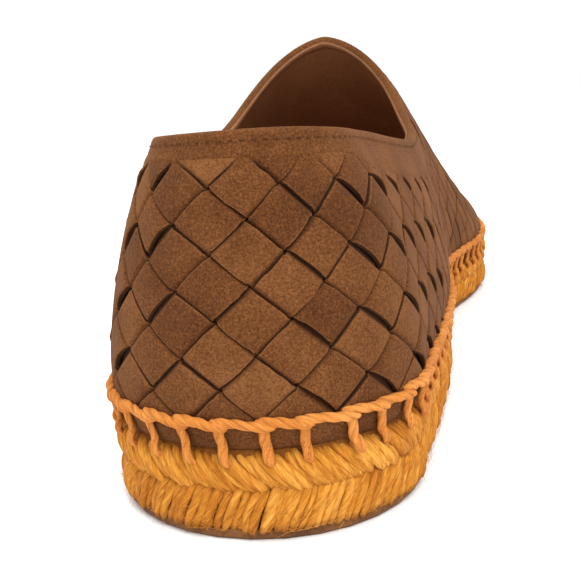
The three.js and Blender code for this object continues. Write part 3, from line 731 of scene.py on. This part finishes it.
def makeWall():
    count = wall["around"]
    top, _ = loopAlong(underTopline, toplineFan, count)
    foot, _ = loopAlong(lambda a, d: overSole(a, d) - 0.05, footFan, count)
    length = np.linalg.norm(lastPoint(foot[:, 0], foot[:, 1]) - lastPoint(top[:, 0], top[:, 1]), axis=1)
    # rows down the wall: close together where the bands end
    fromTop = np.array([0, 1.2, 2.4, 3.4, 4.0, 4.6, 5.2, 5.8, 6.4, 7.2, 8.2, 9.2, 10.2, 11.2, 12.4])
    fromFoot = np.array([9.0, 8.0, 7.2, 6.6, 6.0, 5.4, 4.8, 4.2, 2.8, 1.4, 0.0])
    between = np.linspace(0, 1, 12)[1:-1]
    upper = fromTop[None, :] / length[:, None]
    lower = 1 - fromFoot[None, :] / length[:, None]
    gap = upper[:, -1:] + (lower[:, :1] - upper[:, -1:]) * between[None, :]
    share = np.concatenate([upper, gap, lower], axis=1)
    spots = top[:, None, :] + (foot - top)[:, None, :] * share[..., None]
    far = edgeDistance(spots[..., 0], spots[..., 1])[0]
    band = bandShare(spots[..., 0], far, overSole(spots[..., 0], spots[..., 1]))
    lift = wall["back"] + (bandLevel(far) - wall["back"]) * band
    outer = lifted(spots[..., 0], spots[..., 1], lift)
    inner = lifted(spots[..., 0], spots[..., 1], np.full(lift.shape, wall["inside"]))
    rows = share.shape[1]
    ids = np.arange(count * rows).reshape(count, rows)
    ahead = np.roll(ids, -1, 0)
    base = count * rows
    quads = np.stack([ids[:, :-1], ids[:, 1:], ahead[:, 1:], ahead[:, :-1]], -1).reshape(-1, 4)
    rims = [np.stack([ids[:, 0], ahead[:, 0], base + ahead[:, 0], base + ids[:, 0]], -1),
            np.stack([ids[:, -1], base + ids[:, -1], base + ahead[:, -1], ahead[:, -1]], -1)]
    faces = quads.tolist() + (base + quads[:, ::-1]).tolist() + rims[0].tolist() + rims[1].tolist()
    slots = [0] * len(quads) + [1] * len(quads) + [1] * count + [0] * count
    # painted shade on the outer face behind the strips, where it shows only through the gaps; none in the
    # plain bands
    painted_shade = np.concatenate([0.95 * (1 - band).ravel(), np.zeros(base)])
    attributes = {"tint": np.zeros(2 * base), "edge": np.zeros(2 * base), "painted_shade": painted_shade}
    points = np.concatenate([outer.reshape(-1, 3), inner.reshape(-1, 3)])
    return addMesh("upper_wall", points, faces, [suede, lining], slots, attributes)


wallPiece = makeWall()
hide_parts("upper")
print("upper made")

# folded edge of the opening with its fine row of stitches
fold = {"steps": 360, "sag": 0.3, "stitchDown": 1.3, "stitchOut": 0.42, "stitchLong": 1.25,
        "stitchPitch": 2.0, "stitchThick": 0.14, "stitchSides": 6, "fine": 4000}
# out of the wall, up along it: from the foot of the outer leg over the fold to the inner leg
foldSection = np.array([
    (0.10, -4.6), (0.30, -3.6), (0.42, -2.6), (0.46, -2.0), (0.38, -1.65), (0.48, -1.3), (0.56, -0.5),
    (0.50, 0.2), (0.25, 0.62), (-0.2, 0.82), (-0.9, 0.86), (-1.6, 0.8), (-2.1, 0.5), (-2.3, 0.0),
    (-2.35, -1.0), (-2.3, -2.4), (-1.9, -2.7), (-1.0, -2.7), (-0.4, -4.0)])
# places in that list: the needle's groove, painted in shade, the paler top, and the part with lining
foldGroove, foldPaler, foldLined = (4,), range(7, 12), range(11, 17)


def makeFold():
    loop, _ = loopAlong(underTopline, toplineFan, fold["steps"])
    spot, _, out, up = framesOf(loop)
    sag = dice.normal(0, 1, fold["steps"])
    slow = np.abs(np.fft.fftfreq(fold["steps"])) < 0.03
    sag = fold["sag"] * np.real(np.fft.ifft(np.fft.fft(sag) * slow))
    rise = foldSection[None, :, 1:] + sag[:, None, None] * smooth(foldSection[:, 1], -5.0, 0.0)[None, :, None]
    points = spot[:, None, :] + out[:, None, :] * foldSection[None, :, :1] + up[:, None, :] * rise
    count = len(foldSection)
    faces = [face[::-1] for face in tubeFaces(1, fold["steps"], count, True)]
    whole = points.reshape(-1, 3)
    slots = np.tile([1 if k in foldLined else 0 for k in range(count)], fold["steps"])
    edge = np.tile([0.35 if k in foldPaler else 0.0 for k in range(count)], fold["steps"])
    # painted shade in the needle's groove
    painted_shade = np.tile([0.18 if k in foldGroove else 0.0 for k in range(count)], fold["steps"])
    attributes = {"tint": np.full(len(whole), -0.02), "edge": edge, "painted_shade": painted_shade}
    return addMesh("topline_fold", whole, faces, [suede, lining], slots, attributes)


def makeThread():
    fine = fold["fine"]
    loop, length = loopAlong(underTopline, toplineFan, fine)
    spot, _, out, up = framesOf(loop)
    count = 2 * int(length / fold["stitchPitch"] / 2)
    rise = fold["stitchOut"] + np.array([-0.25, 0.02, 0.07, 0.02, -0.25])  # in, over and in again
    radius = fold["stitchThick"] * np.array([0.6, 1, 1.05, 1, 0.6])
    steps, sides = len(rise), fold["stitchSides"]
    reach = np.linspace(-0.5, 0.5, steps) * fold["stitchLong"] / fold["stitchPitch"]
    k = nearest((np.arange(count)[:, None] + reach) / count, fine)
    paths = spot[k] + out[k] * rise[None, :, None] - up[k] * fold["stitchDown"]
    points, _, _ = twistedTubes(paths, out[k], radius, sides, lobes=2, depth=0.2, turnsPerMm=0.5)
    total = count * steps * sides
    # the stitches take a little painted shade all over, sitting by the needle's groove
    attributes = {"tint": np.full(total, -0.3), "edge": np.zeros(total), "painted_shade": np.full(total, 0.22)}
    print("topline", count, "stitches")
    faces = tubeFaces(count, steps, sides)
    return addMesh("topline_stitches", points.reshape(-1, 3), faces, [suede], None, attributes)


foldPiece = makeFold()
threadPiece = makeThread()
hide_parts("topline_binding")


# a smooth path through control points, the same number of steps for each of many paths
def smoothPath(control, steps):
    count = control.shape[1]
    at = np.linspace(0, count - 1, steps)
    k = np.clip(at.astype(int), 0, count - 2)
    t = (at - k)[None, :, None]
    p0, p1 = control[:, np.maximum(k - 1, 0)], control[:, k]
    p2, p3 = control[:, k + 1], control[:, np.minimum(k + 2, count - 1)]
    bend = (2 * p0 - 5 * p1 + 4 * p2 - p3) * t * t + (3 * p1 - p0 - 3 * p2 + p3) * t ** 3
    return p1 + 0.5 * ((p2 - p0) * t + bend)


# blanket stitch: links that lap over each other round the foot of the upper, and a bar down from each
stitch = {"height": 5.5, "pitch": 7.6, "link": 0.88, "bar": 0.95, "steps": 22, "sides": 12, "plies": 3,
          "fine": 4000}
# along the row in stitches, up, out
linkRows = np.array([(-0.16, 0.1, 0.8), (-0.02, 0.35, 1.05), (0.2, 0.45, 1.3), (0.45, 0.3, 1.4),
                     (0.7, 0.05, 1.6), (0.92, -0.2, 1.8), (1.12, -0.4, 1.7), (1.24, -0.5, 1.1)])
# over the sole, out, along
barRows = np.array([(5.4, 1.2, 0.1), (4.6, 1.5, 0.2), (3.4, 1.45, 0.35), (2.0, 1.5, 0.5), (0.8, 1.75, 0.65)])
# under the wall's foot, out, along
tuckRows = np.array([(0.4, 2.2, 0.8), (1.4, 2.5, 1.05), (2.4, 2.2, 1.4), (3.2, 1.2, 1.7)])


def makeYarn():
    fine, steps, sides, plies = [stitch[key] for key in ("fine", "steps", "sides", "plies")]
    loop, length = loopAlong(lambda a, d: overSole(a, d) - stitch["height"], footFan, fine)
    spot, along, out, up = framesOf(loop)
    count = 2 * int(round(length / stitch["pitch"] / 2))
    pitch = length / count
    middle = np.arange(count) + 0.5 + dice.normal(0, 0.04, count)
    nextMiddle = np.roll(middle, 1)
    nextMiddle[0] -= count
    reach = middle[:, None] + (nextMiddle - middle)[:, None] * linkRows[None, :, 0]
    k = nearest(reach / count, fine)
    control = spot[k] + out[k] * linkRows[None, :, 2:] + up[k] * linkRows[None, :, 1:2]
    control = control + up[k] * dice.normal(0, 0.1, (count, 1, 1))
    links = smoothPath(control, steps)
    facing = out[nearest(np.linspace(reach[:, 0], reach[:, -1], steps, axis=1) / count, fine)]
    girth = stitch["link"] * np.interp(np.linspace(0, 1, steps), [0, 0.12, 0.85, 1], [0.7, 1, 1, 0.65])
    girth = girth[None, :] * (1 + dice.normal(0, 0.05, (count, 1)))
    phase = dice.uniform(0, 6, (count, 1))
    linkPoints, linkFibre, linkGroove = twistedTubes(links, facing, girth, sides, plies, depth=0.3,
                                                     turnsPerMm=0.11, phase=phase)
    k = nearest(middle / count, fine)
    around, down = loop[k, 0][:, None], loop[k, 1][:, None]
    depth = np.sign(down) * (sheetDepth(around) - barRows[None, :, 0])
    high = lifted(around, depth, np.broadcast_to(barRows[None, :, 1], depth.shape))
    foot = lastPoint(around, np.sign(down) * (sheetDepth(around) - 0.05))
    flat = unit(out[k] * np.array([1, 1, 0]))
    low = foot + flat[:, None] * tuckRows[None, :, 1:2] - np.array([0, 0, 1.0]) * tuckRows[None, :, :1]
    lean = np.concatenate([barRows[:, 2], tuckRows[:, 2]])[None, :] * (1 + dice.normal(0, 0.3, (count, 1)))
    control = np.concatenate([high, low], axis=1) - along[k][:, None] * lean[..., None]
    bars = smoothPath(control, steps)
    girth = stitch["bar"] * np.interp(np.linspace(0, 1, steps), [0, 0.8, 1], [1, 1, 0.7])
    girth = girth[None, :] * (1 + dice.normal(0, 0.06, (count, 1)))
    facing = np.broadcast_to(out[k][:, None], bars.shape)
    phase = dice.uniform(0, 6, (count, 1))
    barPoints, barFibre, barGroove = twistedTubes(bars, facing, girth, sides, plies, depth=0.28,
                                                  turnsPerMm=0.09, flat=0.72, phase=phase)
    points = np.concatenate([linkPoints, barPoints])
    fibre = np.concatenate([linkFibre, barFibre]) + dice.uniform(0, 90, (2 * count, 1, 1, 3))
    # painted shade in the grooves between the plies
    painted_shade = 0.5 * (1 - smooth(np.concatenate([linkGroove, barGroove]), 0.02, 0.4))
    tint = np.repeat(dice.normal(0.02, 0.12, 2 * count), steps * sides)
    attributes = {"fibre": fibre.reshape(-1, 3), "painted_shade": painted_shade.ravel(), "tint": tint}
    print("blanket stitch", count, "stitches of", round(pitch, 2))
    faces = tubeFaces(2 * count, steps, sides)
    return addMesh("blanket_yarn", points.reshape(-1, 3), faces, [yarn], None, attributes)


yarnPiece = makeYarn()
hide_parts("blanket_stitch")

# the rope's two rows of slanting turns, of several strands each, meet in a groove
upperRow = {"name": "rope_turns_upper", "way": -1.0, "slant": 8.6, "from": 0.95, "to": 0.44, "thick": 1.0,
            "shift": 0.0, "strands": 5, "lap": 0.55, "arch": 0.95,
            "inset": [(0, 4.2), (0.12, 2.2), (0.3, 1.45), (0.6, 1.35), (0.85, 1.9), (1, 3.2)]}
lowerRow = {"name": "rope_turns_lower", "way": 1.0, "slant": 4.4, "from": 0.56, "to": -0.04, "thick": 0.92,
            "shift": 0.5, "strands": 5, "lap": 0.2, "arch": 0.6,
            "inset": [(0, 3.2), (0.12, 2.0), (0.35, 1.5), (0.6, 1.45), (0.85, 1.5), (1, 1.75)]}
# how much further in than the core's edge, and at which share of the height
coreRows = [(1.0, 0.0), (-0.2, 0.1), (0.4, 0.5), (-0.4, 0.85), (0.0, 1.0)]


def makeCore():
    count, rows = braid["coreSteps"], len(coreRows)
    share = np.arange(count) / count
    rings = [soleEdge(share, np.full(count, braid["core"] + more), level) for more, level in coreRows]
    points = np.concatenate(rings)
    ids = np.arange(rows * count).reshape(rows, count)
    ahead = np.roll(ids, -1, 1)
    quads = np.stack([ids[:-1], ids[1:], ahead[1:], ahead[:-1]], -1).reshape(-1, 4).tolist()
    for ring, flip in ((ids[0], False), (ids[-1], True)):
        for k in range(count // 2):
            face = [ring[k], ring[k + 1], ring[(count - k - 1) % count], ring[(count - k) % count]]
            face = list(dict.fromkeys(int(v) for v in face))
            quads.append(face[::-1] if flip else face)
    fibre = points * np.array([0.5, 0.5, 0.1])
    # painted shade all over the core, which shows only in the gaps between the turns
    attributes = {"fibre": fibre, "painted_shade": np.full(len(points), 0.75), "tint": np.full(len(points), -0.2)}
    return addMesh("sole_core", points, quads, [jute], None, attributes)


def makeTurns(row):
    turns = 2 * int(round(outlineLength / braid["pitch"] / 2))
    number, steps, sides = row["strands"], braid["steps"], braid["sides"]
    tau = np.linspace(0, 1, steps)
    pitch = outlineLength / turns
    place = (np.arange(number) + 0.5) / number - 0.5
    centre = np.arange(turns) + row["shift"] + dice.normal(0, 0.05, turns)
    start = (centre[:, None] + place[None, :] * 1.04) / turns
    start = start + dice.normal(0, 0.02, start.shape) / turns
    lean = row["slant"] / outlineLength * (1 + dice.normal(0, 0.05, turns))[:, None, None]
    bow = np.sin(math.pi * tau)[None, None, :] * place[None, :, None] * 0.25 / turns
    share = start[..., None] + row["way"] * lean * (tau - 0.5)[None, None, :] + bow
    level = row["from"] + (row["to"] - row["from"]) * tau
    inset = np.interp(tau, *np.array(row["inset"]).T)[None, None, :]
    arch = row["arch"] * (2 * place[None, :, None]) ** 2 - row["lap"] * place[None, :, None] * 2
    inset = inset + arch + dice.normal(0, 0.14, (turns, number, 1)) + dice.normal(0, 0.12, (turns, 1, 1))
    share, inset = [np.broadcast_to(v, (turns, number, steps)).reshape(-1, steps) for v in (share, inset)]
    paths = soleEdge(share, inset, level)
    paths[..., 2] += dice.normal(0, 0.12, (len(share), 1))
    _, out = edgeWays(share)
    girth = row["thick"] * np.interp(tau, [0, 0.15, 0.5, 0.85, 1], [0.8, 1.0, 1.05, 0.95, 0.65])
    girth = girth[None, :] * (1 + dice.normal(0, 0.08, len(share)))[:, None]
    phase = dice.uniform(0, 6.28, (len(share), 1))
    points, fibre, groove = twistedTubes(paths, out, girth, sides, lobes=2, depth=0.25,
                                         turnsPerMm=0.06, flat=0.95, phase=phase)
    fibre = fibre + dice.uniform(0, 90, (len(share), 1, 1, 3))
    # painted shade in the grooves between the plies and at both ends of each turn, where it dives under its
    # neighbours
    ends = np.maximum(1 - smooth(tau, 0.0, 0.2), smooth(tau, 0.8, 1.0))
    shadedEnds = 0.6 * np.broadcast_to(ends[None, :, None], groove.shape)
    painted_shade = np.maximum(0.35 * (1 - smooth(groove, 0.02, 0.4)), shadedEnds)
    tint = np.repeat(dice.normal(0, 0.1, turns), number) + dice.normal(0, 0.12, len(share))
    attributes = {"fibre": fibre.reshape(-1, 3), "painted_shade": painted_shade.ravel(), "tint": np.repeat(tint, steps * sides)}
    print(row["name"], turns, "turns of", round(pitch, 2))
    faces = tubeFaces(len(share), steps, sides)
    return addMesh(row["name"], points.reshape(-1, 3), faces, [jute], None, attributes)


corePiece = makeCore()
upperTurns = makeTurns(upperRow)
lowerTurns = makeTurns(lowerRow)
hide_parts("braided_sole")

# loose fibres along the rope
fuzz = {"count": 2200, "steps": 6, "sides": 4, "long": 0.34, "thick": 0.05, "highest": 0.35, "floor": 0.25}


def makeFuzz():
    count, steps, sides = fuzz["count"], fuzz["steps"], fuzz["sides"]
    share = dice.uniform(0, 1, count)
    level = fuzz["highest"] * dice.beta(0.8, 1.6, count)
    start = soleEdge(share, dice.uniform(0.3, 1.4, count), level)
    ahead, out = edgeWays(share)
    long = fuzz["long"] * dice.gamma(3.0, 1.0, count)
    rise = dice.normal(-0.1, 0.6, count)
    drift = dice.normal(0, 0.9, count)
    curl = dice.normal(0, 0.35, (count, 3))
    t = np.linspace(0, 1, steps)[None, :, None]
    way = out * 0.1 + ahead * drift[:, None] + np.array([0, 0, 1.0]) * rise[:, None]
    paths = start[:, None] + long[:, None, None] * (way[:, None] * t + curl[:, None] * t * t)
    paths[..., 2] = np.maximum(paths[..., 2], fuzz["floor"])
    thick = fuzz["thick"] * np.linspace(1, 0.4, steps)[None, :] * np.ones((count, 1))
    facing = np.broadcast_to(out[:, None] + 0.01, paths.shape)
    points, fibre, _ = twistedTubes(paths, facing, thick, sides, lobes=2, depth=0.0, turnsPerMm=0.1)
    tint = np.repeat(dice.normal(0.3, 0.2, count), steps * sides)
    attributes = {"fibre": fibre.reshape(-1, 3), "painted_shade": np.zeros(len(tint)), "tint": tint}
    faces = tubeFaces(count, steps, sides)
    return addMesh("loose_fibres", points.reshape(-1, 3), faces, [jute], None, attributes)


fuzzPiece = makeFuzz()
print("sole made")

for node, material in (("outsole", rubber), ("insole", lining)):
    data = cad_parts[node].data
    data.materials.clear()
    data.materials.append(material)

# floor, light and camera
studio = {"floor": 160, "paper": 0.97, "sky": 1.03}  # metres, and how white and how bright
bpy.ops.mesh.primitive_plane_add(size=studio["floor"])
floor = bpy.context.object
floor.name = "floor"
floorMaterial, _, floorShader = makeMaterial("floor_paper")
floorShader.inputs["Base Color"].default_value = (studio["paper"],) * 3 + (1,)
floorShader.inputs["Roughness"].default_value = 0.9
floor.data.materials.append(floorMaterial)

world = bpy.data.worlds.new("studio")
bpy.context.scene.world = world
world.use_nodes = True
background = world.node_tree.nodes["Background"]
background.inputs["Color"].default_value = (1, 1, 1, 1)
background.inputs["Strength"].default_value = studio["sky"]
# metres and watts
lamps = {
    "key": {"place": (0.38, -0.72, 0.95), "target": (0, -0.06, 0.05), "size": 0.6, "power": 9.0},
    "top": {"place": (-0.2, -0.1, 1.1), "target": (0, -0.05, 0.03), "size": 0.8, "power": 5.5},
}


def addLight(name, place, target, size, power):
    data = bpy.data.lights.new(name, "AREA")
    data.shape = "DISK"
    data.size = size
    data.energy = power
    lamp = bpy.data.objects.new(name, data)
    bpy.context.scene.collection.objects.link(lamp)
    lamp.location = place
    lamp.rotation_euler = (Vector(target) - Vector(place)).to_track_quat("-Z", "Y").to_euler()


for name, lamp in lamps.items():
    addLight(name, **lamp)

# millimetres and degrees
view = {"place": (35.73, -287.45, 82.37), "yaw": -10.11, "pitch": 12.53, "roll": -3.71, "lens": 57.5}


def addCamera():
    yaw, pitch, roll = (math.radians(view[k]) for k in ("yaw", "pitch", "roll"))
    ahead = Vector((math.sin(yaw) * math.cos(pitch), math.cos(yaw) * math.cos(pitch), -math.sin(pitch)))
    right = Vector((math.cos(yaw), -math.sin(yaw), 0))
    up = right.cross(ahead)
    tilted = right * math.cos(roll) + up * math.sin(roll)
    upright = up * math.cos(roll) - right * math.sin(roll)
    data = bpy.data.cameras.new("camera")
    data.lens = view["lens"]
    data.sensor_width = 36
    data.clip_start = 0.01
    camera = bpy.data.objects.new("camera", data)
    bpy.context.scene.collection.objects.link(camera)
    turned = Matrix((tilted, upright, -ahead)).transposed().to_4x4()
    turned.translation = Vector(view["place"]) * 0.001
    camera.matrix_world = turned
    bpy.context.scene.camera = camera


addCamera()
print("scene ready")
